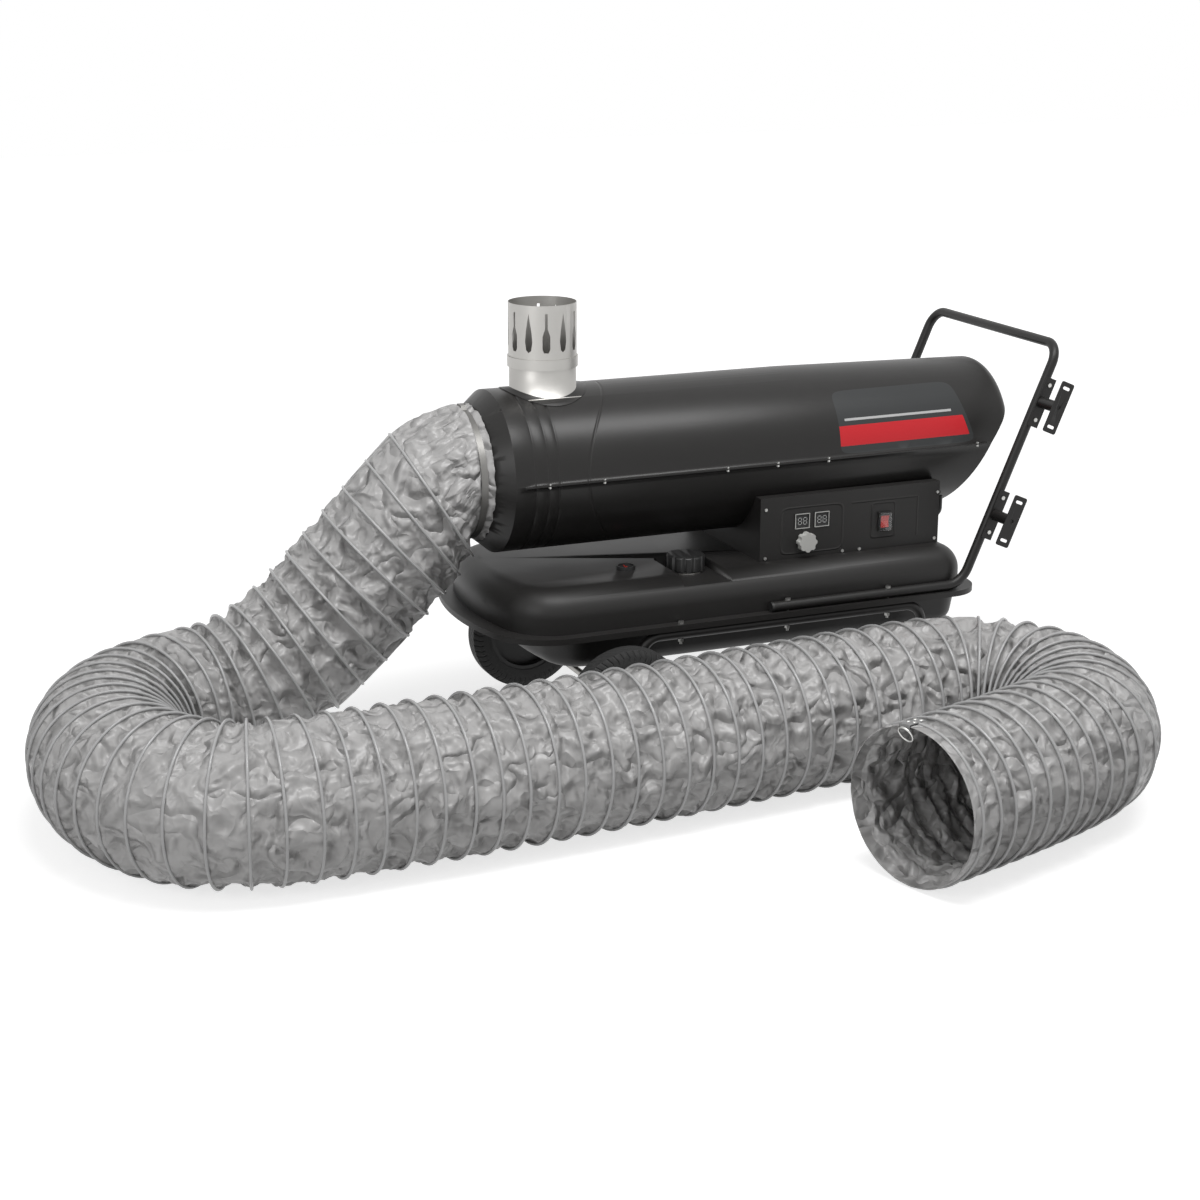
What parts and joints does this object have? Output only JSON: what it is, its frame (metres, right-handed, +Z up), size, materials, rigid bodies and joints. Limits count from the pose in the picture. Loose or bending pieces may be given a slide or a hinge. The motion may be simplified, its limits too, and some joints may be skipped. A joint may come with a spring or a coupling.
{
  "type": "indirect fired space heater",
  "caption": "Wheeled indirect fired space heater with a round casing, flue cowl, fuel tank, saddle box with controls, tube handle and a long ribbed warm-air duct",
  "frame": {"origin": "on the floor under the middle of the heater without its duct", "axes": "+X runs along the heater from the hot-air outlet to the handle, +Z is up and the controls face -Y"},
  "size_m": [2.3704, 1.611, 0.978],
  "materials": {
    "casing_coat": "satin",
    "tank_coat": "satin",
    "frame_coat": "satin",
    "bare_steel": "satin",
    "drum_steel": "satin",
    "cast_alloy": "cast",
    "motor_case": "satin",
    "black_wire": "satin",
    "black_plastic": "matte",
    "grey_plastic": "matte",
    "needle_red": "gloss",
    "rocker_red": "gloss",
    "board_green": "matte",
    "seal_rubber": "matte",
    "black_rubber": "matte",
    "tyre_rubber": "matte",
    "rim_plastic": "matte",
    "zinc_fixings": "satin",
    "duct_fabric": "coated"
  },
  "bodies": {
    "heater": {"upper_shell_front": "casing_coat", "upper_shell_rear": "casing_coat", "lower_shell": "casing_coat", "outlet_cone": "casing_coat", "flue_stub": "bare_steel", "flue_cowl": "bare_steel", "combustion_drum": "drum_steel", "drum_cradles": "bare_steel", "burner_head": "cast_alloy", "fuel_pump": "cast_alloy", "fuel_lines": "bare_steel", "fan_motor": "motor_case", "motor_bracket": "bare_steel", "fan_guard": "black_wire", "tank_upper": "tank_coat", "tank_lower": "tank_coat", "filler_neck": "bare_steel", "gauge_body": "black_plastic", "drain_plug": "bare_steel", "control_panel": "tank_coat", "side_cover": "tank_coat", "saddle_front": "tank_coat", "saddle_rear": "tank_coat", "displays": "black_plastic", "thermostat": "black_plastic", "rocker_bezel": "black_plastic", "control_board": "board_green", "ignition_transformer": "motor_case", "cable_conduit": "black_rubber", "handle_tube": "frame_coat", "handle_plugs": "black_plastic", "cord_wrap_upper": "frame_coat", "cord_wrap_lower": "frame_coat", "frame_tube_near": "frame_coat", "frame_tube_far": "frame_coat", "stand_bar": "frame_coat", "stand_feet": "seal_rubber", "axle": "bare_steel", "axle_caps": "black_plastic", "casing_screws": "zinc_fixings", "flange_bolts": "zinc_fixings", "panel_screws": "zinc_fixings", "wrap_screws": "zinc_fixings", "duct_hose": "duct_fabric", "duct_cuff": "duct_fabric", "duct_clamp": "bare_steel", "duct_mouth": "duct_fabric"},
    "wheel_near": {"tyre_near": "tyre_rubber", "rim_near": "rim_plastic"},
    "wheel_far": {"tyre_far": "tyre_rubber", "rim_far": "rim_plastic"},
    "fan": {"fan_rotor": "cast_alloy"},
    "knob": {"thermostat_knob": "grey_plastic"},
    "rocker": {"power_rocker": "rocker_red"},
    "cap_lift": {"cap_seal": "seal_rubber"},
    "cap": {"fuel_cap": "black_plastic"},
    "needle": {"gauge_needle": "needle_red"},
    "float": {"gauge_float": "black_plastic"}
  },
  "joints": [
    {"name": "wheel_near_turn", "type": "hinge", "parent": "heater", "child": "wheel_near", "pos_m": [-0.406, -0.309, 0.135], "axis": [0, 1, 0], "continuous": true},
    {"name": "wheel_far_turn", "type": "hinge", "parent": "heater", "child": "wheel_far", "pos_m": [-0.406, 0.309, 0.135], "axis": [0, 1, 0], "continuous": true},
    {"name": "fan_turn", "type": "hinge", "parent": "heater", "child": "fan", "pos_m": [0.436, 0, 0.612], "axis": [1, 0, 0], "continuous": true},
    {"name": "knob_turn", "type": "hinge", "parent": "heater", "child": "knob", "pos_m": [0.082, -0.199, 0.4294], "axis": [0, -1, 0], "range_deg": [-270, 0]},
    {"name": "rocker_tip", "type": "hinge", "parent": "heater", "child": "rocker", "pos_m": [0.2848, -0.189, 0.456], "axis": [1, 0, 0], "range_deg": [-12, 0]},
    {"name": "cap_lift_off", "type": "slide", "parent": "heater", "child": "cap_lift", "axis": [0, 0, 1], "range_m": [0, 0.036]},
    {"name": "cap_turn", "type": "hinge", "parent": "cap_lift", "child": "cap", "pos_m": [-0.184, -0.124, 0.39], "axis": [0, 0, 1], "continuous": true},
    {"name": "float_drop", "type": "slide", "parent": "heater", "child": "float", "axis": [0, 0, -1], "range_m": [0, 0.12]},
    {"name": "needle_turn", "type": "hinge", "parent": "heater", "child": "needle", "pos_m": [-0.332, -0.128, 0.398], "axis": [0, 0, 1], "range_deg": [0, 165]}
  ],
  "couplings": [
    {"joint": "needle_turn", "follows": "float_drop", "rad_per_m": 22}
  ]
}
